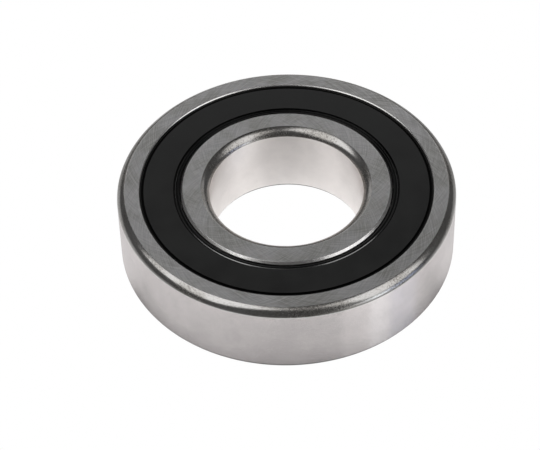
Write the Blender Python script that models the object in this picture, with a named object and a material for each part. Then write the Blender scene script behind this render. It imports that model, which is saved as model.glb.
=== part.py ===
"""Sealed deep-groove ball bearing, 50 x 110 x 27 mm, lying flat with its axis along +Z.

The origin is the middle of the bearing, halfway between its two side faces. Outlines are
(radius, height) pairs turned about an axis. Every piece is a separate solid, and each
moving piece has its origin, or its parent empty, on the axis that it turns about.
"""

import math

import bmesh
import bpy

MM = 0.001
SAME_POINT = 0.001 * MM  # points this close are one

# Boundary size of the whole bearing
BORE_DIAMETER = 50.0 * MM
OUTSIDE_DIAMETER = 110.0 * MM
WIDTH = 27.0 * MM

# Rolling elements
BALL_DIAMETER = 19.05 * MM
BALL_COUNT = 8
OUTER_GROOVE_OSCULATION = 0.53  # groove radius over ball diameter
INNER_GROOVE_OSCULATION = 0.52

# Gaps between the solids
RUNNING_GAP = 0.2 * MM  # ball to raceway
POCKET_GAP = 0.35 * MM  # ball to cage
SEATED_GAP = 0.3 * MM  # between pieces that rest on one another

# Ring shoulders and corners
OUTER_SHOULDER_RADIUS = 45.65 * MM
INNER_SHOULDER_RADIUS = 34.35 * MM
OUTSIDE_CORNER = 2.5 * MM  # same along the radius and along the axis
BORE_CORNER_RADIAL = 2.7 * MM
BORE_CORNER_AXIAL = 2.35 * MM
CORNER_BULGE = 0.4 * MM  # how far a ring corner bows out beyond a straight chamfer
SHOULDER_CHAMFER = 0.7 * MM

# Seal seat in the outer ring, as an undercut groove at each side
SEAT_MOUTH_RADIUS = 47.6 * MM
SEAT_GROOVE_RADIUS = 48.65 * MM
SEAT_EDGE_BREAK = 0.3 * MM
SEAT_LIP_DEPTH = 0.9 * MM  # side face to the start of the undercut
SEAT_GROOVE_DEPTH = 1.6 * MM  # side face to the full depth of the undercut
SEAT_FLOOR_DEPTH = 2.7 * MM  # side face to the floor that the seal rests on

# Seals: black rubber moulded over a pressed steel washer
SEAL_RECESS = 0.4 * MM
SEAL_SKIN = 0.7 * MM  # rubber over the washer
SEAL_BEAD_WIDTH = 0.35 * MM
SEAL_BEAD_DROP = 0.25 * MM  # below the outside face of the seal
SEAL_GROOVE_WIDTH = 0.7 * MM
SEAL_GROOVE_DEPTH = 0.4 * MM
SEAL_RIM_WIDTH = 1.75 * MM  # rubber rim that snaps into the outer ring
LIP_BAND_WIDTH = 2.3 * MM  # lip and its groove, inside the flat face
LIP_RIDGE_WIDTH = 1.6 * MM
LIP_RIDGE_DROP = 0.15 * MM  # below the outside face of the seal
LIP_THICKNESS = 0.5 * MM
LIP_HOOK_WIDTH = 1.3 * MM
LIP_HOOK_DEPTH = 1.6 * MM  # below the outside face of the seal
WASHER_THICKNESS = 0.6 * MM
WASHER_FLANGE_DEPTH = 0.3 * MM

# Cage: two pressed ribbon halves riveted together between the balls
CAGE_THICKNESS = 1.2 * MM
CAGE_HALF_WIDTH = 3.6 * MM
RIVET_SHANK_RADIUS = 1.25 * MM
RIVET_HEAD_RADIUS = 2.4 * MM
RIVET_HEAD_HEIGHT = 1.2 * MM
RIVET_HEAD_BULGE = 0.4 * MM  # how far a head bows out beyond a straight cone

# How finely curved surfaces are divided
OUTER_RING_SEGMENTS = 84
INNER_RING_SEGMENTS = 64
SEAL_SEGMENTS = 64
WASHER_SEGMENTS = 48
BALL_SEGMENTS = 18
BALL_RINGS = 11
RIVET_SEGMENTS = 8
CORNER_STEPS = 3
RACEWAY_HALF_STEPS = 4
HEAD_STEPS = 3
POCKET_STEPS = 10
CAGE_WIDTH_STEPS = 3
HOLE_SEGMENTS = 10
SHARP_ANGLE = math.radians(32.0)

# Sizes that follow from the ones above
BORE_RADIUS = BORE_DIAMETER / 2
OUTSIDE_RADIUS = OUTSIDE_DIAMETER / 2
FACE_HEIGHT = WIDTH / 2
BALL_RADIUS = BALL_DIAMETER / 2
PITCH_RADIUS = (BORE_RADIUS + OUTSIDE_RADIUS) / 2
BALL_SPACING = 2 * math.pi / BALL_COUNT
SEAL_TOP = FACE_HEIGHT - SEAL_RECESS
WASHER_TOP = SEAL_TOP - SEAL_SKIN - SEATED_GAP
WASHER_BOTTOM = WASHER_TOP - WASHER_THICKNESS
SEAL_RIM_INNER_RADIUS = SEAT_GROOVE_RADIUS - SEATED_GAP - SEAL_RIM_WIDTH
LIP_TIP_RADIUS = INNER_SHOULDER_RADIUS + SEATED_GAP
LIP_HOOK_RADIUS = LIP_TIP_RADIUS + LIP_BAND_WIDTH
FLAT_HEIGHT = SEATED_GAP / 2  # underside of the cage's flats
RIVET_HEAD_BASE = FLAT_HEIGHT + CAGE_THICKNESS + SEATED_GAP
HOLE_CUTTER_LENGTH = 4 * RIVET_HEAD_BASE  # reaches well past both cage halves


def clear_scene():
    for obj in list(bpy.data.objects):
        bpy.data.objects.remove(obj, do_unlink=True)


def make_material(name, colour, metallic, roughness):
    material = bpy.data.materials.new(name)
    material.use_nodes = True
    shader = material.node_tree.nodes["Principled BSDF"]
    shader.inputs["Base Color"].default_value = (*colour, 1.0)
    shader.inputs["Metallic"].default_value = metallic
    shader.inputs["Roughness"].default_value = roughness
    return material


def place(obj, parent=None):
    bpy.context.scene.collection.objects.link(obj)
    obj.parent = parent
    return obj


def finish_mesh(name, bm, material):
    """Turns a bmesh into a smooth-shaded object with its faces pointing out."""
    bmesh.ops.recalc_face_normals(bm, faces=bm.faces)
    mesh = bpy.data.meshes.new(name)
    bm.to_mesh(mesh)
    bm.free()
    mesh.shade_smooth()
    mesh.set_sharp_from_angle(angle=SHARP_ANGLE)
    mesh.materials.append(material)
    return bpy.data.objects.new(name, mesh)


def lathe(name, outline, segments, material):
    """One solid ring or pin: a closed outline turned about the Z axis."""
    bm = bmesh.new()
    corners = [bm.verts.new((radius, 0.0, height)) for radius, height in outline]
    edges = [bm.edges.new((corners[i - 1], corners[i])) for i in range(len(corners))]
    bmesh.ops.spin(
        bm,
        geom=corners + edges,
        cent=(0.0, 0.0, 0.0),
        axis=(0.0, 0.0, 1.0),
        angle=2 * math.pi,
        steps=segments,
        use_merge=True,
    )
    bmesh.ops.remove_doubles(bm, verts=bm.verts, dist=SAME_POINT)
    return finish_mesh(name, bm, material)


def flipped(outline, side):
    """The same outline on the upper (+1) or the lower (-1) side of the bearing."""
    return [(radius, side * height) for radius, height in outline]


def both_sides(upper):
    """A closed outline from its upper half, which starts and ends away from the mid-plane."""
    return upper + [(radius, -height) for radius, height in reversed(upper) if height > 0.0]


def bowed(start, end, bulge, steps):
    """Points on the arc from start to end that bows out by bulge, to the left of its run."""
    half = math.dist(start, end) / 2
    radius = (half * half + bulge * bulge) / (2 * bulge)
    along = ((end[0] - start[0]) / (2 * half), (end[1] - start[1]) / (2 * half))
    left = (-along[1], along[0])
    middle = ((start[0] + end[0]) / 2, (start[1] + end[1]) / 2)
    centre = [middle[i] + left[i] * (bulge - radius) for i in range(2)]
    sweep = math.asin(half / radius)
    points = []
    for step in range(steps + 1):
        turn = sweep * (2 * step / steps - 1)
        points.append(
            tuple(
                centre[i] + radius * (along[i] * math.sin(turn) + left[i] * math.cos(turn))
                for i in range(2)
            )
        )
    return points


def half_raceway(bottom_radius, groove_radius, shoulder_radius, outward):
    """The upper half of a ball groove, from its bottom to the shoulder of the ring."""
    centre = bottom_radius - outward * groove_radius
    edge = math.acos(outward * (shoulder_radius - centre) / groove_radius)
    points = []
    for step in range(RACEWAY_HALF_STEPS + 1):
        turn = edge * step / RACEWAY_HALF_STEPS
        radius = centre + outward * groove_radius * math.cos(turn)
        points.append((radius, groove_radius * math.sin(turn)))
    return points


def outer_ring(steel):
    """Outside cylinder, rounded corners, a seal seat in each side and the outer raceway."""
    raceway = half_raceway(
        PITCH_RADIUS + BALL_RADIUS + RUNNING_GAP,
        OUTER_GROOVE_OSCULATION * BALL_DIAMETER,
        OUTER_SHOULDER_RADIUS,
        outward=1,
    )
    seat = [
        (OUTER_SHOULDER_RADIUS, FACE_HEIGHT - SEAT_FLOOR_DEPTH),
        (SEAT_GROOVE_RADIUS, FACE_HEIGHT - SEAT_FLOOR_DEPTH),
        (SEAT_GROOVE_RADIUS, FACE_HEIGHT - SEAT_GROOVE_DEPTH),
        (SEAT_MOUTH_RADIUS, FACE_HEIGHT - SEAT_LIP_DEPTH),
        (SEAT_MOUTH_RADIUS, FACE_HEIGHT - SEAT_EDGE_BREAK),
        (SEAT_MOUTH_RADIUS + SEAT_EDGE_BREAK, FACE_HEIGHT),
    ]
    corner = bowed(
        (OUTSIDE_RADIUS - OUTSIDE_CORNER, FACE_HEIGHT),
        (OUTSIDE_RADIUS, FACE_HEIGHT - OUTSIDE_CORNER),
        CORNER_BULGE,
        CORNER_STEPS,
    )
    outline = both_sides(raceway + seat + corner)
    return lathe("outer_ring", outline, OUTER_RING_SEGMENTS, steel)


def inner_ring(steel):
    """Bore with rounded corners, chamfered shoulders and the inner raceway."""
    raceway = half_raceway(
        PITCH_RADIUS - BALL_RADIUS - RUNNING_GAP,
        INNER_GROOVE_OSCULATION * BALL_DIAMETER,
        INNER_SHOULDER_RADIUS,
        outward=-1,
    )
    shoulder = [
        (INNER_SHOULDER_RADIUS, FACE_HEIGHT - SHOULDER_CHAMFER),
        (INNER_SHOULDER_RADIUS - SHOULDER_CHAMFER, FACE_HEIGHT),
    ]
    corner = bowed(
        (BORE_RADIUS, FACE_HEIGHT - BORE_CORNER_AXIAL),
        (BORE_RADIUS + BORE_CORNER_RADIAL, FACE_HEIGHT),
        CORNER_BULGE,
        CORNER_STEPS,
    )
    outline = both_sides(raceway + shoulder + corner[::-1])
    return lathe("inner_ring", outline, INNER_RING_SEGMENTS, steel)


def seal_rubber(name, side, rubber):
    """Flat black face, outer bead, snap-in rim, and the lip that runs on the inner ring."""
    mouth = SEAT_MOUTH_RADIUS - SEATED_GAP
    rim = SEAT_GROOVE_RADIUS - SEATED_GAP
    rim_bottom = FACE_HEIGHT - SEAT_FLOOR_DEPTH + SEATED_GAP
    bead_top = SEAL_TOP - SEAL_BEAD_DROP
    bead_inner = mouth - SEAL_BEAD_WIDTH
    face_outer = bead_inner - SEAL_GROOVE_WIDTH
    groove_bottom = SEAL_TOP - SEAL_GROOVE_DEPTH
    ridge_top = SEAL_TOP - LIP_RIDGE_DROP
    ridge_outer = LIP_TIP_RADIUS + LIP_RIDGE_WIDTH
    hook_bottom = SEAL_TOP - LIP_HOOK_DEPTH
    outline = [
        (mouth, bead_top),
        (mouth, FACE_HEIGHT - SEAT_LIP_DEPTH - SEATED_GAP / 2),
        (rim, FACE_HEIGHT - SEAT_GROOVE_DEPTH - SEATED_GAP / 2),
        (rim, rim_bottom),
        (SEAL_RIM_INNER_RADIUS, rim_bottom),
        (SEAL_RIM_INNER_RADIUS, SEAL_TOP - SEAL_SKIN),
        (LIP_HOOK_RADIUS, SEAL_TOP - SEAL_SKIN),
        (LIP_HOOK_RADIUS, hook_bottom),
        (LIP_HOOK_RADIUS - LIP_HOOK_WIDTH, hook_bottom),
        (LIP_TIP_RADIUS, ridge_top - LIP_THICKNESS),
        (LIP_TIP_RADIUS, ridge_top),
        (ridge_outer, ridge_top),
        ((ridge_outer + LIP_HOOK_RADIUS) / 2, groove_bottom),
        (LIP_HOOK_RADIUS, SEAL_TOP),
        (face_outer, SEAL_TOP),
        ((face_outer + bead_inner) / 2, groove_bottom),
        (bead_inner, bead_top),
    ]
    return lathe(name, flipped(outline, side), SEAL_SEGMENTS, rubber)


def seal_washer(name, side, steel):
    """The flat stiffener inside a seal, with its outer edge turned in towards the balls."""
    outer = SEAL_RIM_INNER_RADIUS - SEATED_GAP
    inner = LIP_HOOK_RADIUS + SEATED_GAP
    outline = [
        (outer, WASHER_TOP),
        (outer, WASHER_BOTTOM - WASHER_FLANGE_DEPTH),
        (outer - WASHER_THICKNESS, WASHER_BOTTOM - WASHER_FLANGE_DEPTH),
        (outer - WASHER_THICKNESS, WASHER_BOTTOM),
        (inner, WASHER_BOTTOM),
        (inner, WASHER_TOP),
    ]
    return lathe(name, flipped(outline, side), WASHER_SEGMENTS, steel)


def ball(number, steel):
    bm = bmesh.new()
    bmesh.ops.create_uvsphere(
        bm, u_segments=BALL_SEGMENTS, v_segments=BALL_RINGS, radius=BALL_RADIUS
    )
    obj = finish_mesh(f"ball_{number + 1}", bm, steel)
    angle = number * BALL_SPACING
    obj.location = (PITCH_RADIUS * math.cos(angle), PITCH_RADIUS * math.sin(angle), 0.0)
    return obj


def cage_point(width_share, sweep, sphere_radius, flat_height):
    """A point of the pressed strip near the ball at angle zero, as (radius, angle, height).

    width_share runs from -1 to 1 across the strip. sweep runs from -1 to 1 over the
    pocket, whose wall is part of a sphere about the ball and ends at the flats.
    """
    radius = PITCH_RADIUS + width_share * CAGE_HALF_WIDTH
    reach = math.sqrt(sphere_radius**2 - (radius - PITCH_RADIUS) ** 2)
    lowest = math.asin(flat_height / reach)
    climb = math.pi / 2 - sweep * (math.pi / 2 - lowest)
    chord = reach * math.cos(climb)
    angle = 2 * math.asin(chord / (2 * math.sqrt(PITCH_RADIUS * radius)))
    return radius, angle, reach * math.sin(climb)


def cage_section(station, side):
    """The closed cross-section of a cage half at one station, which may be on a flat."""
    ball_number, step = divmod(station, POCKET_STEPS + 2)
    ball_angle = ball_number * BALL_SPACING
    on_flat = step == POCKET_STEPS + 1
    sphere_radius = BALL_RADIUS + POCKET_GAP
    inside, outside = [], []
    for across in range(CAGE_WIDTH_STEPS + 1):
        share = 2 * across / CAGE_WIDTH_STEPS - 1
        for points, extra in ((inside, 0.0), (outside, CAGE_THICKNESS)):
            flat_height = FLAT_HEIGHT + extra
            sweep = min(1.0, 2 * step / POCKET_STEPS - 1)
            radius, angle, height = cage_point(
                share, sweep, sphere_radius + extra, flat_height
            )
            if on_flat:
                angle, height = BALL_SPACING / 2, flat_height
            turn = ball_angle + angle
            x = radius * math.cos(turn)
            y = radius * math.sin(turn)
            points.append((x, y, side * height))
    return inside + outside[::-1]


def rivet_angle(number):
    return (number + 0.5) * BALL_SPACING


def rivet_hole_cutter():
    """Eight round plugs, one at each rivet, used only to cut the cage halves."""
    bm = bmesh.new()
    for number in range(BALL_COUNT):
        plug = bmesh.ops.create_cone(
            bm,
            cap_ends=True,
            segments=HOLE_SEGMENTS,
            radius1=RIVET_SHANK_RADIUS + SEATED_GAP,
            radius2=RIVET_SHANK_RADIUS + SEATED_GAP,
            depth=HOLE_CUTTER_LENGTH,
        )
        angle = rivet_angle(number)
        offset = (PITCH_RADIUS * math.cos(angle), PITCH_RADIUS * math.sin(angle), 0.0)
        bmesh.ops.translate(bm, verts=plug["verts"], vec=offset)
    mesh = bpy.data.meshes.new("rivet_hole_cutter")
    bm.to_mesh(mesh)
    bm.free()
    cutter = bpy.data.objects.new("rivet_hole_cutter", mesh)
    cutter.hide_render = True
    cutter.display_type = "WIRE"
    return cutter


def cage_half(name, side, cutter, steel):
    """A ribbon of sheet steel pressed round each ball, with a rivet hole in every flat."""
    bm = bmesh.new()
    stations = BALL_COUNT * (POCKET_STEPS + 2)
    loops = [
        [bm.verts.new(point) for point in cage_section(station, side)]
        for station in range(stations)
    ]
    for here in range(stations):
        first, second = loops[here - 1], loops[here]
        for i in range(len(first)):
            bm.faces.new((first[i - 1], first[i], second[i], second[i - 1]))
    obj = finish_mesh(name, bm, steel)
    holes = obj.modifiers.new("rivet_holes", "BOOLEAN")
    holes.operation = "DIFFERENCE"
    holes.solver = "EXACT"
    holes.object = cutter
    return obj


def cage_rivet(number, steel):
    """A shank with a domed head on each side of the cage."""
    dome = bowed(
        (RIVET_HEAD_RADIUS, RIVET_HEAD_BASE),
        (0.0, RIVET_HEAD_BASE + RIVET_HEAD_HEIGHT),
        -RIVET_HEAD_BULGE,
        HEAD_STEPS,
    )
    outline = both_sides([(RIVET_SHANK_RADIUS, RIVET_HEAD_BASE)] + dome)
    obj = lathe(f"cage_rivet_{number + 1}", outline, RIVET_SEGMENTS, steel)
    angle = rivet_angle(number)
    obj.location = (PITCH_RADIUS * math.cos(angle), PITCH_RADIUS * math.sin(angle), 0.0)
    return obj


def build():
    clear_scene()
    ring_steel = make_material("ring_steel", (0.56, 0.55, 0.53), 1.0, 0.34)
    ball_steel = make_material("ball_steel", (0.74, 0.74, 0.74), 1.0, 0.08)
    cage_steel = make_material("cage_steel", (0.50, 0.50, 0.49), 1.0, 0.42)
    rivet_steel = make_material("rivet_steel", (0.60, 0.59, 0.57), 1.0, 0.30)
    washer_steel = make_material("washer_steel", (0.46, 0.46, 0.45), 1.0, 0.45)
    rubber = make_material("seal_rubber", (0.022, 0.022, 0.022), 0.0, 0.48)

    place(outer_ring(ring_steel))
    inner_axis = place(bpy.data.objects.new("inner_ring_axis", None))
    place(inner_ring(ring_steel), inner_axis)
    for name, side in (("upper", 1), ("lower", -1)):
        place(seal_rubber(f"{name}_seal_rubber", side, rubber))
        place(seal_washer(f"{name}_seal_washer", side, washer_steel))

    cage_axis = place(bpy.data.objects.new("cage_axis", None))
    cutter = place(rivet_hole_cutter(), cage_axis)
    for name, side in (("upper", 1), ("lower", -1)):
        place(cage_half(f"{name}_cage_half", side, cutter, cage_steel), cage_axis)
    for number in range(BALL_COUNT):
        place(ball(number, ball_steel), cage_axis)
        place(cage_rivet(number, rivet_steel), cage_axis)


build()
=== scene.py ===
"""The looks of a sealed deep-groove ball bearing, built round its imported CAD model.

Every piece is turned or pressed again as a fine mesh with softened edges, in the place that
the CAD model gives it, and gets a procedural material. Lengths are in millimetres unless a
name says otherwise. Outlines are (radius, height) pairs turned about the bearing's axis, in
stretches that each have their own finish.
"""

import math

import bmesh
import bpy
from mathutils import Matrix, Vector


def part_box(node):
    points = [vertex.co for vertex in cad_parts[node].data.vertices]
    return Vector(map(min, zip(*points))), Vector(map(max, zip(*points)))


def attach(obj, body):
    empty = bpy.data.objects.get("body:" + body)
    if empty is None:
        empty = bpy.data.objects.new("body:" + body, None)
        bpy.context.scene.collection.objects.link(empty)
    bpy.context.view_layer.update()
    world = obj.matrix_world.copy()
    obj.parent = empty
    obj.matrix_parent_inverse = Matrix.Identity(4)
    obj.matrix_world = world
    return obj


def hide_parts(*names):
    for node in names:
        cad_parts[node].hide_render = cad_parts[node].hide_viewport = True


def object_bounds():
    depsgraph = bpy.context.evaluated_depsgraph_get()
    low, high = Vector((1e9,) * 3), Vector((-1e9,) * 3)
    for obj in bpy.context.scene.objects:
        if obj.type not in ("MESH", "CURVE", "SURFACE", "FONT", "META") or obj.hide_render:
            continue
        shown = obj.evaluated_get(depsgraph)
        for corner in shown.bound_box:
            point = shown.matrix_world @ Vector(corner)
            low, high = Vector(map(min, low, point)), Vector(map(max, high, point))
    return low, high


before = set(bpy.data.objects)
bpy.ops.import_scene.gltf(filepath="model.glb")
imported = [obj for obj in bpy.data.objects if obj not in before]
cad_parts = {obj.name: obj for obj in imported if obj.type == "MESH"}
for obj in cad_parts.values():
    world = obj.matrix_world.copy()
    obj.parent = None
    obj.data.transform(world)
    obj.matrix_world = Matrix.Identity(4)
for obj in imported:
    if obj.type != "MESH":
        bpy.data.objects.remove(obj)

MM = 0.001

cad_low, cad_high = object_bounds()


def box_mm(node):
    low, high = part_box(node)
    return low / MM, high / MM


# Driving sizes, read from the CAD model
OUTSIDE_RADIUS = box_mm("outer_ring")[1].x
FACE_HEIGHT = box_mm("outer_ring")[1].z
INNER_SHOULDER_RADIUS = box_mm("inner_ring")[1].x
BALL_LOW, BALL_HIGH = box_mm("ball_1")
BALL_RADIUS = (BALL_HIGH.z - BALL_LOW.z) / 2
PITCH_RADIUS = (BALL_HIGH.x + BALL_LOW.x) / 2
BORE_RADIUS = 2 * PITCH_RADIUS - OUTSIDE_RADIUS
SEAL_TOP = box_mm("upper_seal_rubber")[1].z
WASHER_LOW, WASHER_HIGH = box_mm("upper_seal_washer")
CAGE_TOP = box_mm("upper_cage_half")[1].z
RIVET_TOP = box_mm("cage_rivet_1")[1].z
BALL_COUNT = sum(name.startswith("ball_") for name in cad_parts)
BALL_SPACING = 2 * math.pi / BALL_COUNT

# Ring details, which the pieces' boxes don't tell
RUNNING_GAP = 0.2
OUTER_GROOVE_OSCULATION = 0.53
INNER_GROOVE_OSCULATION = 0.52
OUTER_SHOULDER_RADIUS = 45.65
OUTSIDE_CORNER = 2.5
BORE_CORNER_RADIAL = 2.7
BORE_CORNER_AXIAL = 2.35
CORNER_BULGE = 0.4
SHOULDER_CHAMFER = 0.7
SEAT_MOUTH_RADIUS = 47.6
SEAT_GROOVE_RADIUS = 48.65
SEAT_EDGE_BREAK = 0.3
SEAT_LIP_DEPTH = 0.9
SEAT_GROOVE_DEPTH = 1.6
SEAT_FLOOR_DEPTH = 2.7

# Seal details
SEAL_GAP = 0.3
MOUTH_GAP = 0.12
BEAD_WIDTH = 0.38
BEAD_DROP = 0.3
RIM_GROOVE_WIDTH = 0.75
RIM_GROOVE_DEPTH = 0.6
RIM_WIDTH = 1.75
SEAL_SKIN = 0.7
WASHER_THICKNESS = 0.6
LIP_BAND_WIDTH = 2.1
LIP_HOOK_DEPTH = 1.6
LIP_HOOK_WIDTH = 1.3
LIP_TIP_DEPTH = 0.8
GROOVE_FLANK = 0.12
# The lip's two ridges: distance out from its tip and depth below the seal's face
LIP_RIDGES = [
    (0.0, 0.70),
    (0.25, 0.70),
    (0.35, 0.42),
    (0.75, 0.40),
    (0.87, 0.80),
    (1.07, 0.80),
    (1.17, 0.32),
    (1.40, 0.30),
]
LIP_CREST = [(1.40, 0.30), (1.70, 0.60)]  # slope on the second ridge, rubbed and greasy
LIP_GROOVE = [(1.70, 0.60), (1.74, 0.80), (1.98, 0.80)]

# Cage and rivet details
CAGE_THICKNESS = 1.2
CAGE_HALF_WIDTH = 3.6
FLAT_HEIGHT = 0.15
RIVET_SHANK_RADIUS = 1.25
RIVET_HEAD_RADIUS = 2.4
RIVET_HEAD_HEIGHT = 1.2
RIVET_HEAD_BULGE = 0.4
RIVET_HOLE_GAP = 0.3
HOLE_CUTTER_HEIGHT = 4 * RIVET_TOP  # passes well beyond both cage halves

# How finely the round surfaces are divided
RING_SEGMENTS = 288
RIVET_SEGMENTS = 40
ARC_STEPS = 12
BALL_SUBDIVISIONS = 5
POCKET_STEPS = 26
CAGE_WIDTH_STEPS = 8
HOLE_SEGMENTS = 32
SAME_POINT = 0.0001  # corners this close are one

# Softened edges
RING_EDGE = 0.07
RUBBER_EDGE = 0.1
SHEET_EDGE = 0.22
WASHER_EDGE = 0.11
EDGE_SEGMENTS = 3
SOFTEN_FROM = math.radians(14.0)
FLATS_WEIGHT = 100  # from 1 to 100: how much the broad faces set the shading


# ------------------------------------------------------------------ outlines


def bowed(start, end, bulge, steps=ARC_STEPS):
    """Points on the arc from start to end that bows out by bulge, to the left of its run."""
    half = math.dist(start, end) / 2
    radius = (half * half + bulge * bulge) / (2 * bulge)
    along = ((end[0] - start[0]) / (2 * half), (end[1] - start[1]) / (2 * half))
    left = (-along[1], along[0])
    middle = ((start[0] + end[0]) / 2, (start[1] + end[1]) / 2)
    centre = [middle[i] + left[i] * (bulge - radius) for i in range(2)]
    sweep = math.asin(half / radius)
    points = []
    for step in range(steps + 1):
        turn = sweep * (2 * step / steps - 1)
        points.append(
            tuple(
                centre[i] + radius * (along[i] * math.sin(turn) + left[i] * math.cos(turn))
                for i in range(2)
            )
        )
    return points


def half_raceway(bottom_radius, groove_radius, shoulder_radius, outward):
    """The upper half of a ball groove, from the shoulder of the ring down to its bottom."""
    centre = bottom_radius - outward * groove_radius
    edge = math.acos(outward * (shoulder_radius - centre) / groove_radius)
    points = []
    for step in range(ARC_STEPS, -1, -1):
        turn = edge * step / ARC_STEPS
        radius = centre + outward * groove_radius * math.cos(turn)
        points.append((radius, groove_radius * math.sin(turn)))
    return points


def with_lower_half(stretches):
    """Closes an upper half that starts and ends on the mid-plane with its mirror image."""
    lower = [
        (finish, [(radius, -height) for radius, height in reversed(points)])
        for finish, points in reversed(stretches)
    ]
    return stretches + lower


def on_side(stretches, side):
    """The same outline at the upper (+1) or the lower (-1) side of the bearing."""
    return [
        (finish, [(radius, side * height) for radius, height in points])
        for finish, points in stretches
    ]


# -------------------------------------------------------------------- meshes


def to_object(name, bm, materials):
    """A smooth-shaded object from a bmesh in millimetres."""
    bmesh.ops.recalc_face_normals(bm, faces=bm.faces)
    mesh = bpy.data.meshes.new(name)
    bm.to_mesh(mesh)
    bm.free()
    mesh.transform(Matrix.Scale(MM, 4))
    mesh.shade_smooth()
    for material in materials:
        mesh.materials.append(material)
    obj = bpy.data.objects.new(name, mesh)
    bpy.context.scene.collection.objects.link(obj)
    return obj


def turned(name, stretches, segments, finishes):
    """A solid ring from a closed outline, each stretch with the material of its finish."""
    slots = list(dict.fromkeys(finish for finish, _ in stretches))
    outline = []
    for finish, points in stretches:
        outline += [(radius, height, slots.index(finish)) for radius, height in points[:-1]]
    bm = bmesh.new()
    loops = []
    for segment in range(segments):
        angle = 2 * math.pi * segment / segments
        cos, sin = math.cos(angle), math.sin(angle)
        loops.append([bm.verts.new((r * cos, r * sin, height)) for r, height, _ in outline])
    for segment in range(segments):
        here, there = loops[segment - 1], loops[segment]
        for i in range(len(outline)):
            corners = (here[i - 1], here[i], there[i], there[i - 1])
            bm.faces.new(corners).material_index = outline[i - 1][2]
    return to_object(name, bm, [finishes[slot] for slot in slots])


def soften(obj, width, edge_material=None):
    """Rounds the creases, in the edge material if one is given, and keeps flats flat."""
    bevel = obj.modifiers.new("softened_edges", "BEVEL")
    bevel.width = width * MM
    bevel.segments = EDGE_SEGMENTS
    bevel.limit_method = "ANGLE"
    bevel.angle_limit = SOFTEN_FROM
    if edge_material:
        obj.data.materials.append(edge_material)
        bevel.material = len(obj.data.materials) - 1
    normals = obj.modifiers.new("flat_flats", "WEIGHTED_NORMAL")
    normals.weight = FLATS_WEIGHT


def stand_for(obj, node, body):
    """The fine piece moves with the CAD body and is shown in the CAD node's place."""
    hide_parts(node)
    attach(obj, body)


# ----------------------------------------------------------------- materials

# Colours, as linear red, green and blue
FACE_STEEL = (0.55, 0.545, 0.55)
FACE_OILY = (0.42, 0.418, 0.4)
FACE_STREAK = (0.85, 0.84, 0.84)
FACE_SCRATCH = (0.85, 0.85, 0.84)
CORNER_STEEL = (0.45, 0.44, 0.43)
CORNER_BROWN = (0.36, 0.345, 0.325)
CORNER_PIT = (0.16, 0.15, 0.14)
OUTSIDE_STEEL = (0.80, 0.755, 0.75)
BORE_STEEL = (0.90, 0.86, 0.84)
CYLINDER_SCRATCH = (0.95, 0.93, 0.92)
EDGE_STEEL = (0.62, 0.61, 0.6)
EDGE_RUBBED = (0.82, 0.81, 0.8)
RACEWAY_STEEL = (0.72, 0.71, 0.7)
SEAT_STEEL = (0.5, 0.485, 0.465)
BALL_STEEL = (0.78, 0.775, 0.77)
WASHER_STEEL = (0.46, 0.46, 0.45)
CAGE_STEEL = (0.5, 0.5, 0.49)
RIVET_STEEL = (0.6, 0.59, 0.57)
RUBBER_DUST = (0.06, 0.06, 0.058)

# A finish's second colour as a share of its first
CYLINDER_DULLED = 0.94
SHEET_DENTED = 0.85
RUBBER_FLOWED = (1.4, 1.45, 1.4)

PIT_STRENGTH = 0.85  # how far a pit goes towards its own colour
TIPPED_SHARE = 0.5  # of the finest grinding lines
CYLINDER_ROUGHNESS_SPREAD = 0.04


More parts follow.
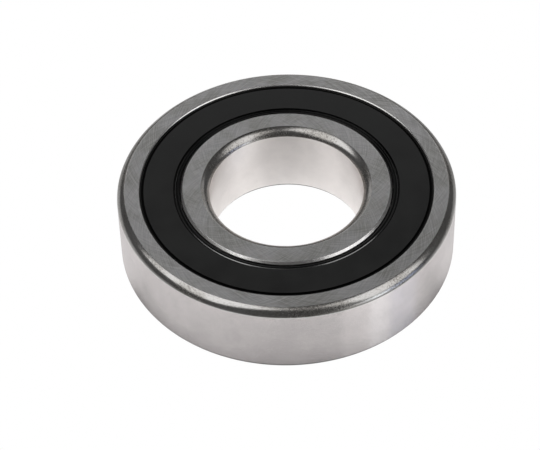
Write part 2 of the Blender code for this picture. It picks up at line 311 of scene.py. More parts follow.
class Nodes:
    """Adds linked shader nodes to one node tree; each method returns the new output."""

    def __init__(self, tree):
        self.tree = tree

    def feed(self, socket, value):
        if isinstance(value, bpy.types.NodeSocket):
            self.tree.links.new(value, socket)
        else:
            socket.default_value = value

    def add(self, kind, inputs, output=0, **settings):
        made = self.tree.nodes.new("ShaderNode" + kind)
        for key, value in settings.items():
            setattr(made, key, value)
        for key, value in inputs.items():
            self.feed(made.inputs[key], value)
        return made.outputs[output]

    def math(self, operation, first, second=0.0):
        return self.add("Math", {0: first, 1: second}, operation=operation)

    def vector(self, operation, first, second):
        return self.add("VectorMath", {0: first, 1: second}, operation=operation)

    def scaled(self, vector, scale):
        return self.add("VectorMath", {0: vector, "Scale": scale}, operation="SCALE")

    def noise(self, vector, scale, detail=2.0, roughness=0.5):
        inputs = {"Vector": vector, "Scale": scale, "Detail": detail, "Roughness": roughness}
        return self.add("TexNoise", inputs)

    def span(self, value, low, high, to_low=0.0, to_high=1.0):
        """Maps low..high to to_low..to_high, eased at both ends and clamped."""
        inputs = {"Value": value, "From Min": low, "From Max": high}
        inputs.update({"To Min": to_low, "To Max": to_high})
        return self.add("MapRange", inputs, interpolation_type="SMOOTHSTEP")

    def thin_lines(self, value, half_width):
        """One where a noise crosses its middle value, as long wandering hairlines."""
        away = self.math("ABSOLUTE", self.math("SUBTRACT", value, 0.5))
        return self.span(away, 0.0, half_width, to_low=1.0, to_high=0.0)

    def mixed(self, factor, first, second):
        inputs = {"Factor": factor, "A": first, "B": second}
        return self.add("Mix", inputs, output=2, data_type="RGBA")

    def place(self):
        """Position on the piece, in millimetres, at rest."""
        coordinates = self.tree.nodes.new("ShaderNodeTexCoord")
        return self.scaled(coordinates.outputs["Object"], 1 / MM)

    def polar(self, place):
        """(radius, height, unit vector away from the axis) of a position."""
        flat = self.vector("MULTIPLY", place, (1.0, 1.0, 0.0))
        radius = self.add("VectorMath", {0: flat}, output=1, operation="LENGTH")
        height = self.add("SeparateXYZ", {0: place}, output=2)
        away = self.add("VectorMath", {0: flat}, operation="NORMALIZE")
        return radius, height, away

    def hoops(self, away, across, length, fineness):
        """Lines that run round the axis, varying slowly round it and quickly across."""
        around = self.scaled(away, length)
        up = self.add("CombineXYZ", {"Z": self.math("MULTIPLY", across, fineness)})
        place = self.vector("ADD", around, up)
        return self.noise(place, scale=1.0, detail=3.0, roughness=0.65)

    def spirals(self, away, radius, lead, fineness, drift=0.25):
        """Lines that cross a ring's face, turning by lead radians for each millimetre."""
        inputs = {"Vector": away, "Angle": self.math("MULTIPLY", radius, lead)}
        turned_away = self.add("VectorRotate", inputs, rotation_type="Z_AXIS")
        along = self.add("CombineXYZ", {"Z": self.math("MULTIPLY", radius, drift)})
        across = self.scaled(turned_away, fineness)
        place = self.vector("ADD", across, along)
        return self.noise(place, scale=1.0, detail=3.0, roughness=0.6)

    def tipped_hoops(self, height, slope):
        """The normal on grinding lines too fine to be seen, some of them tipped up."""
        chance = self.add("TexWhiteNoise", {"W": height}, noise_dimensions="1D")
        is_tipped = self.math("LESS_THAN", chance, TIPPED_SHARE)
        tilt = self.math("MULTIPLY", is_tipped, slope)
        axis = self.add(
            "VectorTransform",
            {"Vector": (0.0, 0.0, 1.0)},
            vector_type="VECTOR",
            convert_from="OBJECT",
            convert_to="WORLD",
        )
        straight = self.tree.nodes.new("ShaderNodeNewGeometry").outputs["Normal"]
        tipped = self.vector("ADD", straight, self.scaled(axis, tilt))
        return self.add("VectorMath", {0: tipped}, operation="NORMALIZE")

    def bump(self, height, depth, below=None):
        """A bumped normal, for a height of 0 to 1 that stands for depth millimetres."""
        inputs = {"Height": height, "Distance": depth * MM}
        if below is not None:
            inputs["Normal"] = below
        return self.add("Bump", inputs)


def new_material(name):
    """(material, its nodes, the inputs of its Principled shader)"""
    material = bpy.data.materials.new(name)
    material.use_nodes = True
    tree = material.node_tree
    return material, Nodes(tree), tree.nodes["Principled BSDF"].inputs


def opaque(colour, share=1.0):
    """A colour for a shader input, brightened or darkened to a share of itself."""
    red, green, blue = colour
    return (share * red, share * green, share * blue, 1.0)


def ground_face_steel():
    """Side faces: crossed grinding arcs, hairline scratches and a cloudy oily tint."""
    material, nodes, surface = new_material("ground_face_steel")
    place = nodes.place()
    radius, _, away = nodes.polar(place)
    clouds = nodes.noise(place, scale=0.07, detail=4.0, roughness=0.6)
    rising = nodes.spirals(away, radius, lead=0.035, fineness=110.0)
    falling = nodes.spirals(away, radius, lead=-0.045, fineness=85.0)
    hatch = nodes.math("ADD", rising, falling)
    grain = nodes.noise(place, scale=3.2, detail=4.0, roughness=0.7)
    crossing = nodes.spirals(away, radius, lead=0.06, fineness=9.0)
    hairlines = nodes.thin_lines(crossing, half_width=0.004)
    cloudiness = nodes.span(clouds, 0.4, 0.62)
    tint = nodes.mixed(cloudiness, opaque(FACE_STEEL), opaque(FACE_OILY))
    streaks = nodes.span(hatch, 0.85, 1.2, to_high=0.6)
    streaked = nodes.mixed(streaks, tint, opaque(FACE_STREAK))
    scratches = nodes.math("MULTIPLY", hairlines, 0.5)
    nodes.feed(surface["Base Color"], nodes.mixed(scratches, streaked, opaque(FACE_SCRATCH)))
    surface["Metallic"].default_value = 1.0
    roughness = nodes.span(hatch, 0.8, 1.2, to_low=0.40, to_high=0.30)
    nodes.feed(surface["Roughness"], roughness)
    relief = nodes.bump(hatch, depth=0.06)
    nodes.feed(surface["Normal"], nodes.bump(grain, depth=0.02, below=relief))
    return material


def turned_corner_steel():
    """Rounded ring corners: turned, hardened and tumbled, so satin, with pitted patches."""
    material, nodes, surface = new_material("turned_corner_steel")
    place = nodes.place()
    radius, height, away = nodes.polar(place)
    patches = nodes.noise(place, scale=0.07)
    roughed = nodes.span(patches, 0.38, 0.6, to_low=0.3)
    grain = nodes.noise(place, scale=1.9, detail=5.0, roughness=0.75)
    speckle = nodes.math("MULTIPLY", grain, roughed)
    down_the_corner = nodes.math("SUBTRACT", radius, height)
    lines = nodes.hoops(away, down_the_corner, length=8.0, fineness=5.0)
    browning = nodes.span(patches, 0.35, 0.7)
    clean = nodes.mixed(browning, opaque(CORNER_STEEL), opaque(CORNER_BROWN))
    pits = nodes.span(nodes.noise(place, scale=1.7, detail=3.0, roughness=0.8), 0.5, 0.62)
    pitted = nodes.math("MULTIPLY", nodes.math("MULTIPLY", pits, roughed), PIT_STRENGTH)
    nodes.feed(surface["Base Color"], nodes.mixed(pitted, clean, opaque(CORNER_PIT)))
    surface["Metallic"].default_value = 1.0
    roughness = nodes.span(speckle, 0.3, 0.7, to_low=0.19, to_high=0.30)
    nodes.feed(surface["Roughness"], roughness)
    relief = nodes.bump(lines, depth=0.002)
    nodes.feed(surface["Normal"], nodes.bump(speckle, depth=0.03, below=relief))
    return material


def ground_cylinder_steel(name, tint, smoothest, stretch, slope):
    """Outside cylinder and bore: ground round the axis, which stretches highlights upright."""
    material, nodes, surface = new_material(name)
    place = nodes.place()
    _, height, away = nodes.polar(place)
    lines = nodes.hoops(away, height, length=6.0, fineness=9.0)
    clouds = nodes.noise(place, scale=0.12, detail=4.0, roughness=0.65)
    wandering = nodes.noise(place, scale=0.05, detail=1.0)
    hairlines = nodes.thin_lines(wandering, half_width=0.0012)
    dulling = nodes.span(clouds, 0.35, 0.65)
    shade = nodes.mixed(dulling, opaque(tint), opaque(tint, CYLINDER_DULLED))
    scratches = nodes.math("MULTIPLY", hairlines, 0.3)
    nodes.feed(surface["Base Color"], nodes.mixed(scratches, shade, opaque(CYLINDER_SCRATCH)))
    surface["Metallic"].default_value = 1.0
    roughest = smoothest + CYLINDER_ROUGHNESS_SPREAD
    nodes.feed(surface["Roughness"], nodes.span(lines, 0.3, 0.7, smoothest, roughest))
    surface["Anisotropic"].default_value = stretch
    surface["Anisotropic Rotation"].default_value = 0.25
    nodes.feed(surface["Tangent"], nodes.add("Tangent", {}, direction_type="RADIAL", axis="Z"))
    nodes.feed(surface["Normal"], nodes.tipped_hoops(height, slope))
    return material


def worn_edge_steel():
    """Edges rubbed brighter and smoother than the faces they join, with small dings."""
    material, nodes, surface = new_material("worn_edge_steel")
    dings = nodes.noise(nodes.place(), scale=1.1, detail=4.0, roughness=0.7)
    rubbed = nodes.span(dings, 0.45, 0.7)
    nodes.feed(
        surface["Base Color"], nodes.mixed(rubbed, opaque(EDGE_STEEL), opaque(EDGE_RUBBED))
    )
    surface["Metallic"].default_value = 1.0
    surface["Roughness"].default_value = 0.24
    nodes.feed(surface["Normal"], nodes.bump(dings, depth=0.03))
    return material


def honed_steel():
    """Raceways: nearly a mirror, with the faintest honing lines round the axis."""
    material, nodes, surface = new_material("honed_steel")
    _, height, away = nodes.polar(nodes.place())
    lines = nodes.hoops(away, height, length=4.0, fineness=14.0)
    surface["Base Color"].default_value = opaque(RACEWAY_STEEL)
    surface["Metallic"].default_value = 1.0
    nodes.feed(surface["Roughness"], nodes.span(lines, 0.3, 0.7, to_low=0.08, to_high=0.15))
    nodes.feed(surface["Normal"], nodes.bump(lines, depth=0.001))
    return material


def turned_seat_steel():
    """Shoulders and seal seats: lathe-turned, duller, with visible tool lines."""
    material, nodes, surface = new_material("turned_seat_steel")
    radius, height, away = nodes.polar(nodes.place())
    along_the_cut = nodes.math("ADD", radius, height)
    lines = nodes.hoops(away, along_the_cut, length=2.0, fineness=6.0)
    surface["Base Color"].default_value = opaque(SEAT_STEEL)
    surface["Metallic"].default_value = 1.0
    nodes.feed(surface["Roughness"], nodes.span(lines, 0.3, 0.7, to_low=0.28, to_high=0.42))
    nodes.feed(surface["Normal"], nodes.bump(lines, depth=0.01))
    return material


def moulded_rubber(name, shade, shine, smoothest, roughest, refraction=1.5):
    """Black nitrile, with a moulded grain, faint flow marks and dust specks."""
    material, nodes, surface = new_material(name)
    place = nodes.place()
    grain = nodes.noise(place, scale=5.0, detail=4.0, roughness=0.6)
    flow = nodes.noise(place, scale=0.12, detail=3.0)
    dust = nodes.span(nodes.noise(place, scale=1.3), 0.76, 0.8)
    flow_marks = nodes.span(flow, 0.3, 0.7)
    black = opaque((shade, shade, shade))
    flowed = nodes.mixed(flow_marks, black, opaque(RUBBER_FLOWED, shade))
    nodes.feed(surface["Base Color"], nodes.mixed(dust, flowed, opaque(RUBBER_DUST)))
    surface["Specular IOR Level"].default_value = shine
    surface["IOR"].default_value = refraction
    nodes.feed(surface["Roughness"], nodes.span(flow, 0.3, 0.7, smoothest, roughest))
    nodes.feed(surface["Normal"], nodes.bump(grain, depth=0.008))
    return material


def lapped_steel():
    """Balls: a mirror with a hint of haze."""
    material, nodes, surface = new_material("lapped_steel")
    haze = nodes.noise(nodes.place(), scale=0.9, detail=3.0, roughness=0.6)
    surface["Base Color"].default_value = opaque(BALL_STEEL)
    surface["Metallic"].default_value = 1.0
    nodes.feed(surface["Roughness"], nodes.span(haze, 0.3, 0.7, to_low=0.03, to_high=0.07))
    return material


def sheet_steel(name, base, smoothest, roughest, grain_size):
    """Pressed or upset steel, tumbled satin, with small dents and a grain."""
    material, nodes, surface = new_material(name)
    place = nodes.place()
    grain = nodes.noise(place, scale=grain_size, detail=4.0, roughness=0.65)
    dents = nodes.noise(place, scale=0.8)
    dented = nodes.span(dents, 0.3, 0.7)
    shade = nodes.mixed(dented, opaque(base), opaque(base, SHEET_DENTED))
    nodes.feed(surface["Base Color"], shade)
    surface["Metallic"].default_value = 1.0
    nodes.feed(surface["Roughness"], nodes.span(grain, 0.3, 0.7, smoothest, roughest))
    relief = nodes.bump(dents, depth=0.04)
    nodes.feed(surface["Normal"], nodes.bump(grain, depth=0.01, below=relief))
    return material


# --------------------------------------------------------------------- rings


def outer_ring(finishes):
    """Rounded corners, side faces, seal seats, shoulders and the raceway between them."""
    corner = bowed(
        (OUTSIDE_RADIUS, FACE_HEIGHT - OUTSIDE_CORNER),
        (OUTSIDE_RADIUS - OUTSIDE_CORNER, FACE_HEIGHT),
        -CORNER_BULGE,
    )
    seat = [
        (SEAT_MOUTH_RADIUS, FACE_HEIGHT - SEAT_EDGE_BREAK),
        (SEAT_MOUTH_RADIUS, FACE_HEIGHT - SEAT_LIP_DEPTH),
        (SEAT_GROOVE_RADIUS, FACE_HEIGHT - SEAT_GROOVE_DEPTH),
        (SEAT_GROOVE_RADIUS, FACE_HEIGHT - SEAT_FLOOR_DEPTH),
        (OUTER_SHOULDER_RADIUS, FACE_HEIGHT - SEAT_FLOOR_DEPTH),
    ]
    raceway = half_raceway(
        PITCH_RADIUS + BALL_RADIUS + RUNNING_GAP,
        OUTER_GROOVE_OSCULATION * 2 * BALL_RADIUS,
        OUTER_SHOULDER_RADIUS,
        outward=1,
    )
    face_inner = SEAT_MOUTH_RADIUS + SEAT_EDGE_BREAK
    stretches = [
        ("cylinder", [(OUTSIDE_RADIUS, 0.0), corner[0]]),
        ("corner", corner),
        ("face", [corner[-1], (face_inner, FACE_HEIGHT)]),
        ("edge", [(face_inner, FACE_HEIGHT), seat[0]]),
        ("seat", seat),
        ("seat", [seat[-1], raceway[0]]),
        ("raceway", raceway),
    ]
    ring = turned("outer_ring_fine", with_lower_half(stretches), RING_SEGMENTS, finishes)
    soften(ring, RING_EDGE, finishes["edge"])
    stand_for(ring, "outer_ring", "outer_ring")


def inner_ring(finishes):
    """Bore with rounded corners, side faces, chamfered shoulders and the raceway."""
    corner = bowed(
        (BORE_RADIUS, FACE_HEIGHT - BORE_CORNER_AXIAL),
        (BORE_RADIUS + BORE_CORNER_RADIAL, FACE_HEIGHT),
        CORNER_BULGE,
    )
    raceway = half_raceway(
        PITCH_RADIUS - BALL_RADIUS - RUNNING_GAP,
        INNER_GROOVE_OSCULATION * 2 * BALL_RADIUS,
        INNER_SHOULDER_RADIUS,
        outward=-1,
    )
    chamfer = [
        (INNER_SHOULDER_RADIUS - SHOULDER_CHAMFER, FACE_HEIGHT),
        (INNER_SHOULDER_RADIUS, FACE_HEIGHT - SHOULDER_CHAMFER),
    ]
    stretches = [
        ("bore", [(BORE_RADIUS, 0.0), corner[0]]),
        ("corner", corner),
        ("face", [corner[-1], chamfer[0]]),
        ("edge", chamfer),
        ("seat", [chamfer[1], raceway[0]]),
        ("raceway", raceway),
    ]
    ring = turned("inner_ring_fine", with_lower_half(stretches), RING_SEGMENTS, finishes)
    soften(ring, RING_EDGE, finishes["edge"])
    stand_for(ring, "inner_ring", "inner_ring")


# --------------------------------------------------------------------- seals


def seal_rubber(word, side, finishes):
    """Flat face, bead and groove at the ring, and a ridged lip towards the inner ring."""
    mouth = SEAT_MOUTH_RADIUS - MOUTH_GAP
    rim = SEAT_GROOVE_RADIUS - SEAL_GAP
    rim_bottom = FACE_HEIGHT - SEAT_FLOOR_DEPTH + SEAL_GAP
    rim_inner = rim - RIM_WIDTH
    bead_top = SEAL_TOP - BEAD_DROP
    bead_inner = mouth - BEAD_WIDTH
    face_outer = bead_inner - RIM_GROOVE_WIDTH
    groove_floor = SEAL_TOP - RIM_GROOVE_DEPTH
    lip_tip = INNER_SHOULDER_RADIUS + SEAL_GAP
    face_inner = lip_tip + LIP_BAND_WIDTH
    skin_bottom = SEAL_TOP - SEAL_SKIN
    hook_bottom = SEAL_TOP - LIP_HOOK_DEPTH
    back = [
        (mouth, bead_top),
        (mouth, FACE_HEIGHT - SEAT_LIP_DEPTH - SEAL_GAP / 2),
        (rim, FACE_HEIGHT - SEAT_GROOVE_DEPTH - SEAL_GAP / 2),
        (rim, rim_bottom),
        (rim_inner, rim_bottom),
        (rim_inner, skin_bottom),
        (face_inner, skin_bottom),
        (face_inner, hook_bottom),
        (face_inner - LIP_HOOK_WIDTH, hook_bottom),
        (lip_tip, SEAL_TOP - LIP_TIP_DEPTH),
    ]
    ridges, crest, lip_groove = (
        [(lip_tip + out, SEAL_TOP - depth) for out, depth in points]
        for points in (LIP_RIDGES, LIP_CREST, LIP_GROOVE)
    )
    groove = [
        (face_outer, SEAL_TOP),
        (face_outer + GROOVE_FLANK, groove_floor),
        (bead_inner - GROOVE_FLANK, groove_floor),
        (bead_inner, bead_top),
    ]
    stretches = [
        ("rubber", back),
        # The lip finish, here and on the bead, is blacker than the face rubber as painted shade
        ("lip", [back[-1]] + ridges),
        ("crest", crest),
        ("lip", lip_groove + [(face_inner, SEAL_TOP)]),
        ("rubber", [(face_inner, SEAL_TOP), groove[0]]),
        # The groove's finish is painted shade
        ("groove", groove),
        ("lip", [groove[-1], back[0]]),
    ]
    name = f"{word}_seal_rubber_fine"
    seal = turned(name, on_side(stretches, side), RING_SEGMENTS, finishes)
    soften(seal, RUBBER_EDGE)
    stand_for(seal, f"{word}_seal_rubber", "outer_ring")


def seal_washer(word, side, steel):
    """The stiffener behind the rubber: a flat ring with its outer edge turned in."""
    outer = WASHER_HIGH.x
    top = WASHER_HIGH.z
    flange_bottom = WASHER_LOW.z
    inner = INNER_SHOULDER_RADIUS + SEAL_GAP + LIP_BAND_WIDTH + SEAL_GAP
    outline = [
        (outer, top),
        (outer, flange_bottom),
        (outer - WASHER_THICKNESS, flange_bottom),
        (outer - WASHER_THICKNESS, top - WASHER_THICKNESS),
        (inner, top - WASHER_THICKNESS),
        (inner, top),
        (outer, top),
    ]
    name = f"{word}_seal_washer_fine"
    stretches = on_side([("sheet", outline)], side)
    washer = turned(name, stretches, RING_SEGMENTS, {"sheet": steel})
    soften(washer, WASHER_EDGE)
    stand_for(washer, f"{word}_seal_washer", "outer_ring")


# ------------------------------------------------------- balls, cage, rivets


def around_pitch(number):
    """The place on the pitch circle that is number ball spacings on from ball_1."""
    angle = number * BALL_SPACING
    return Vector((PITCH_RADIUS * math.cos(angle), PITCH_RADIUS * math.sin(angle), 0.0))


def ball(number, steel):
    """One ball in its place on the pitch circle."""
    bm = bmesh.new()
    bmesh.ops.create_icosphere(bm, subdivisions=BALL_SUBDIVISIONS, radius=BALL_RADIUS)
    bmesh.ops.translate(bm, verts=bm.verts, vec=around_pitch(number))
    name = f"ball_{number + 1}"
    obj = to_object(f"{name}_fine", bm, [steel])
    stand_for(obj, name, name)


def cage_point(width_share, sweep, sphere_radius, flat_height):
    """A point of the pressed strip near the ball at angle zero, as (radius, angle, height).

    width_share runs from -1 to 1 across the strip. sweep runs from -1 to 1 over the
    pocket, whose wall is part of a sphere about the ball and ends at the flats.
    """
    radius = PITCH_RADIUS + width_share * CAGE_HALF_WIDTH
    reach = math.sqrt(sphere_radius**2 - (radius - PITCH_RADIUS) ** 2)
    lowest = math.asin(flat_height / reach)
    climb = math.pi / 2 - sweep * (math.pi / 2 - lowest)
    chord = reach * math.cos(climb)
    angle = 2 * math.asin(chord / (2 * math.sqrt(PITCH_RADIUS * radius)))
    return radius, angle, reach * math.sin(climb)


def cage_section(station, side):
    """The closed cross-section of a cage half at one station, which may be on a flat."""
    ball_number, step = divmod(station, POCKET_STEPS + 2)
    on_flat = step == POCKET_STEPS + 1
    sweep = min(1.0, 2 * step / POCKET_STEPS - 1)
    sphere_radius = CAGE_TOP - CAGE_THICKNESS
    inside, outside = [], []
    for across in range(CAGE_WIDTH_STEPS + 1):
        share = 2 * across / CAGE_WIDTH_STEPS - 1
        for points, extra in ((inside, 0.0), (outside, CAGE_THICKNESS)):
            flat = FLAT_HEIGHT + extra
            radius, angle, height = cage_point(share, sweep, sphere_radius + extra, flat)
            if on_flat:
                angle, height = BALL_SPACING / 2, flat
            turn = ball_number * BALL_SPACING + angle
            x = radius * math.cos(turn)
            y = radius * math.sin(turn)
            points.append((x, y, side * height))
    return inside + outside[::-1]


def rivet_hole_cutter():
    """Round plugs where the rivets go, a little wider than their shanks."""
    bm = bmesh.new()
    for number in range(BALL_COUNT):
        plug = bmesh.ops.create_cone(
            bm,
            cap_ends=True,
            segments=HOLE_SEGMENTS,
            radius1=RIVET_SHANK_RADIUS + RIVET_HOLE_GAP,
            radius2=RIVET_SHANK_RADIUS + RIVET_HOLE_GAP,
            depth=HOLE_CUTTER_HEIGHT,
        )
        bmesh.ops.translate(bm, verts=plug["verts"], vec=around_pitch(number + 0.5))
    return to_object("rivet_hole_cutter", bm, [])


def keep_result(obj):
    """Makes the result of an object's modifiers its own mesh."""
    graph = bpy.context.evaluated_depsgraph_get()
    mesh = bpy.data.meshes.new_from_object(obj.evaluated_get(graph))
    obj.modifiers.clear()
    obj.data = mesh


def cage_half(word, side, cutter, steel):
    """A pressed strip with a pocket for each ball and a drilled flat between each two."""
    bm = bmesh.new()
    stations = BALL_COUNT * (POCKET_STEPS + 2)
    loops = [
        [bm.verts.new(point) for point in cage_section(station, side)]
        for station in range(stations)
    ]
    for station in range(stations):
        first, second = loops[station - 1], loops[station]
        for i in range(len(first)):
            bm.faces.new((first[i - 1], first[i], second[i], second[i - 1]))
    obj = to_object(f"{word}_cage_half_fine", bm, [steel])
    soften(obj, SHEET_EDGE)
    holes = obj.modifiers.new("rivet_holes", "BOOLEAN")
    holes.operation = "DIFFERENCE"
    holes.solver = "EXACT"
    holes.object = cutter
    keep_result(obj)
    stand_for(obj, f"{word}_cage_half", "cage")


def cage_rivet(number, steel):
    """A shank with a domed head on each side of the cage."""
    base = RIVET_TOP - RIVET_HEAD_HEIGHT
    dome = bowed((RIVET_HEAD_RADIUS, base), (0.0, RIVET_TOP), -RIVET_HEAD_BULGE)
    upper = [(RIVET_SHANK_RADIUS, 0.0), (RIVET_SHANK_RADIUS, base)] + dome
    lower = [(radius, -height) for radius, height in reversed(upper[1:])]
    bm = bmesh.new()
    corners = [bm.verts.new((radius, 0.0, height)) for radius, height in upper + lower]
    edges = [bm.edges.new(pair) for pair in zip(corners, corners[1:] + corners[:1])]
    bmesh.ops.spin(
        bm,
        geom=corners + edges,
        cent=(0.0, 0.0, 0.0),
        axis=(0.0, 0.0, 1.0),
        angle=2 * math.pi,
        steps=RIVET_SEGMENTS,
        use_merge=True,
    )
    bmesh.ops.remove_doubles(bm, verts=bm.verts, dist=SAME_POINT)
    bmesh.ops.translate(bm, verts=bm.verts, vec=around_pitch(number + 0.5))
    name = f"cage_rivet_{number + 1}"
    obj = to_object(f"{name}_fine", bm, [steel])
    soften(obj, RING_EDGE)
    stand_for(obj, name, "cage")


# -------------------------------------------------------------------- studio

CAMERA_ELEVATION = math.radians(46.19)
CAMERA_DISTANCE = 711.2  # from the middle of the bearing
CAMERA_ROLL = math.radians(-1.14)
CAMERA_LENS = 144.4  # for the 36 mm sensor width
CAMERA_SHIFT = (-0.0314, -0.0202)
CAMERA_NEAREST = 0.01  # in metres

FLOOR_HALF_SIDE = 3000.0
FLOOR_GREY = 0.25
FLOOR_ROUGHNESS = 0.9
# Radiance of the floor round the bearing: painted light, dim close in front of it and behind it
# as painted shadow
FLOOR_GLOW = 1.1  # at its brightest, in front
FLOOR_GLOW_SIDES = 0.85  # as far out, but to the sides
FLOOR_GLOW_FRONT = 0.15  # close in front of the bearing
FLOOR_GLOW_BESIDE = 0.7  # close beside it
FLOOR_GLOW_BEHIND = (0.4, 0.28)  # behind it, on the left and on the right
FLOOR_GLOW_FAR = 0.15  # share that is left far in front
FLOOR_GLOW_REACH = 40.0  # from the outer ring to the brightest place
FLOOR_GLOW_END = (100.0, 220.0)  # radii between which the glow fades
SIDES_FROM = 0.9  # sine of the angle from the front at which the sides start
BORE_GLOW = 0.5  # at the middle of the bore
BORE_GLOW_EDGE = 1.1  # at its wall

ROOM_LEVEL = 0.15  # radiance of the unlit room, near the level of the floor
ROOM_TOP = 0.1  # straight overhead
ROOM_FADE_FROM = 0.2  # sine of the elevation at which it starts to darken

LIGHT_DISTANCE = 1.0  # in metres, like the light sizes below
WHITE = (1.0, 1.0, 1.0)
COOL = (0.92, 0.97, 1.0)
BLUISH = (0.6, 0.7, 1.0)

# Softboxes that face the bearing: azimuth in degrees from the camera's side, positive to the
# right, elevation in degrees, width and height in metres, radiance, tint
SOFTBOXES = {
    "left_softbox": (-72, 58, 0.95, 0.88, 1.5, WHITE),
    "right_softbox": (66, 46, 0.74, 0.85, 1.4, WHITE),
    "back_softbox": (180, 30, 1.40, 0.44, 0.55, WHITE),
}

# Panels that stand upright on the right: azimuths of the two edges, heights of the bottom and
# the top in metres above the bearing's middle, radiance, tint
UPRIGHT_PANELS = {
    "faint_panel": (30, 46, 0.02, 0.32, 0.8, WHITE),
    "main_panel": (46, 59, 0.02, 0.32, 2.0, COOL),
    "dim_panel": (59, 77, 0.02, 0.32, 1.1, BLUISH),
}


def camera():
    data = bpy.data.cameras.new("camera")
    data.lens = CAMERA_LENS
    data.shift_x, data.shift_y = CAMERA_SHIFT
    data.clip_start = CAMERA_NEAREST
    obj = bpy.data.objects.new("camera", data)
    back = Vector((0.0, -math.cos(CAMERA_ELEVATION), math.sin(CAMERA_ELEVATION)))
    obj.location = back * CAMERA_DISTANCE * MM
    aim = (-back).to_track_quat("-Z", "Y").to_matrix()
    obj.rotation_euler = (aim @ Matrix.Rotation(CAMERA_ROLL, 3, "Z")).to_euler()
    bpy.context.scene.collection.objects.link(obj)
    bpy.context.scene.camera = obj


def floor():
    """A plain sheet that glows round the bearing with painted light and painted shadow, and
    that the camera sees as pure white.
    """
    bm = bmesh.new()
    bmesh.ops.create_grid(bm, x_segments=1, y_segments=1, size=FLOOR_HALF_SIDE)
    material, nodes, surface = new_material("pale_floor")
    surface["Base Color"].default_value = opaque(WHITE, FLOOR_GREY)
    surface["Roughness"].default_value = FLOOR_ROUGHNESS
    place = nodes.place()
    radius, _, away = nodes.polar(place)
    sideways = nodes.add("SeparateXYZ", {0: away}, output=0)
    beside = nodes.math("ABSOLUTE", sideways)
    close = nodes.span(beside, SIDES_FROM, 1.0, FLOOR_GLOW_FRONT, FLOOR_GLOW_BESIDE)
    brightest = nodes.span(beside, SIDES_FROM, 1.0, FLOOR_GLOW, FLOOR_GLOW_SIDES)
    reach = OUTSIDE_RADIUS + FLOOR_GLOW_REACH
    around = nodes.span(radius, OUTSIDE_RADIUS, reach, close, brightest)
    fading = nodes.span(radius, *FLOOR_GLOW_END, 1.0, FLOOR_GLOW_FAR)
    in_front = nodes.math("MULTIPLY", around, fading)
    depth = nodes.add("SeparateXYZ", {0: place}, output=1)
    behind = nodes.span(sideways, -1.0, 1.0, *FLOOR_GLOW_BEHIND)
    outside = nodes.span(depth, 0.0, OUTSIDE_RADIUS, in_front, behind)
    bore = nodes.span(radius, 0.0, BORE_RADIUS, BORE_GLOW, BORE_GLOW_EDGE)
    in_bore = nodes.math("LESS_THAN", radius, BORE_RADIUS)
    glow = nodes.add("Mix", {"Factor": in_bore, "A": outside, "B": bore})
    surface["Emission Color"].default_value = opaque(WHITE)
    nodes.feed(surface["Emission Strength"], glow)
    white = nodes.add("Emission", {"Color": opaque(WHITE), "Strength": 1.0})
    lit = nodes.tree.nodes["Principled BSDF"].outputs[0]
    seen = nodes.add("LightPath", {})
    shown = nodes.add("MixShader", {0: seen, 1: lit, 2: white})
    nodes.feed(nodes.tree.nodes["Material Output"].inputs["Surface"], shown)
    sheet = to_object("pale_floor", bm, [material])
    sheet.location.z = cad_low.z


def area_light(name, size, radiance, tint, place, facing):
    """A rectangular light that has its middle at place and looks along facing."""
    data = bpy.data.lights.new(name, "AREA")
    data.shape = "RECTANGLE"
    data.size, data.size_y = size
    data.energy = radiance * math.pi * data.size * data.size_y
    data.color = tint
    obj = bpy.data.objects.new(name, data)
    obj.location = place
    obj.rotation_euler = facing.to_track_quat("-Z", "Y").to_euler()
    obj.visible_camera = False
    bpy.context.scene.collection.objects.link(obj)


def direction(azimuth, elevation=0.0):
    turn, climb = math.radians(azimuth), math.radians(elevation)
    level = math.cos(climb)
    return Vector((math.sin(turn) * level, -math.cos(turn) * level, math.sin(climb)))


def softbox(name, azimuth, elevation, width, height, radiance, tint):
    away = direction(azimuth, elevation)
    area_light(name, (width, height), radiance, tint, away * LIGHT_DISTANCE, -away)


def upright_panel(name, from_azimuth, to_azimuth, bottom, top, radiance, tint):
    away = direction((from_azimuth + to_azimuth) / 2)
    width = 2 * LIGHT_DISTANCE * math.tan(math.radians(to_azimuth - from_azimuth) / 2)
    place = away * LIGHT_DISTANCE + Vector((0.0, 0.0, (bottom + top) / 2))
    area_light(name, (width, top - bottom), radiance, tint, place, -away)


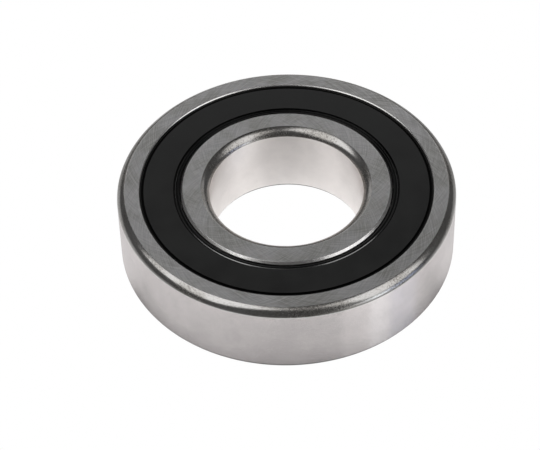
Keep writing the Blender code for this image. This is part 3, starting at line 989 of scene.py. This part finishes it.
def room():
    """A dim room, darker overhead, that the camera sees as pure white."""
    world = bpy.data.worlds.new("room")
    world.use_nodes = True
    bpy.context.scene.world = world
    nodes = Nodes(world.node_tree)
    toward = nodes.tree.nodes.new("ShaderNodeTexCoord").outputs["Generated"]
    height = nodes.add("SeparateXYZ", {0: toward}, output=2)
    level = nodes.span(height, ROOM_FADE_FROM, 1.0, ROOM_LEVEL, ROOM_TOP)
    dim = nodes.add("Background", {"Strength": level})
    white = nodes.add("Background", {"Color": opaque(WHITE), "Strength": 1.0})
    seen = nodes.add("LightPath", {})
    shown = nodes.add("MixShader", {0: seen, 1: dim, 2: white})
    nodes.feed(nodes.tree.nodes["World Output"].inputs["Surface"], shown)


def studio():
    camera()
    floor()
    room()
    for name, settings in SOFTBOXES.items():
        softbox(name, *settings)
    for name, settings in UPRIGHT_PANELS.items():
        upright_panel(name, *settings)
    bpy.context.scene.view_settings.view_transform = "Standard"


# ------------------------------------------------------------------ assembly


def build():
    finishes = {
        "face": ground_face_steel(),
        "corner": turned_corner_steel(),
        "cylinder": ground_cylinder_steel(
            "outside_steel", OUTSIDE_STEEL, smoothest=0.22, stretch=1.0, slope=0.42
        ),
        "bore": ground_cylinder_steel(
            "bore_steel", BORE_STEEL, smoothest=0.36, stretch=0.85, slope=0.35
        ),
        "edge": worn_edge_steel(),
        "seat": turned_seat_steel(),
        "raceway": honed_steel(),
    }
    rubbers = {
        "rubber": moulded_rubber(
            "rubber_face", shade=0.006, shine=0.46, smoothest=0.36, roughest=0.44
        ),
        # Lip rubber: glossy, and blacker than the face as painted shade on the lip band
        "lip": moulded_rubber(
            "rubber_lip_painted_shade", shade=0.002, shine=0.40, smoothest=0.12, roughest=0.2
        ),
        "crest": moulded_rubber(
            "rubber_crest", shade=0.01, shine=1.0, smoothest=0.10, roughest=0.16, refraction=2.0
        ),
        # Groove rubber: blacker and duller than the face, as painted shade in the groove
        "groove": moulded_rubber(
            "rubber_groove_painted_shade", shade=0.001, shine=0.05, smoothest=0.5, roughest=0.6
        ),
    }
    washer_steel = sheet_steel(
        "washer_steel", WASHER_STEEL, smoothest=0.35, roughest=0.5, grain_size=2.5
    )
    cage_steel = sheet_steel(
        "cage_steel", CAGE_STEEL, smoothest=0.3, roughest=0.45, grain_size=2.0
    )
    rivet_steel = sheet_steel(
        "rivet_steel", RIVET_STEEL, smoothest=0.22, roughest=0.34, grain_size=3.0
    )
    ball_steel = lapped_steel()

    outer_ring(finishes)
    inner_ring(finishes)
    cutter = rivet_hole_cutter()
    for word, side in (("upper", 1), ("lower", -1)):
        seal_rubber(word, side, rubbers)
        seal_washer(word, side, washer_steel)
        cage_half(word, side, cutter, cage_steel)
    bpy.data.objects.remove(cutter)
    for number in range(BALL_COUNT):
        ball(number, ball_steel)
        cage_rivet(number, rivet_steel)


build()
studio()
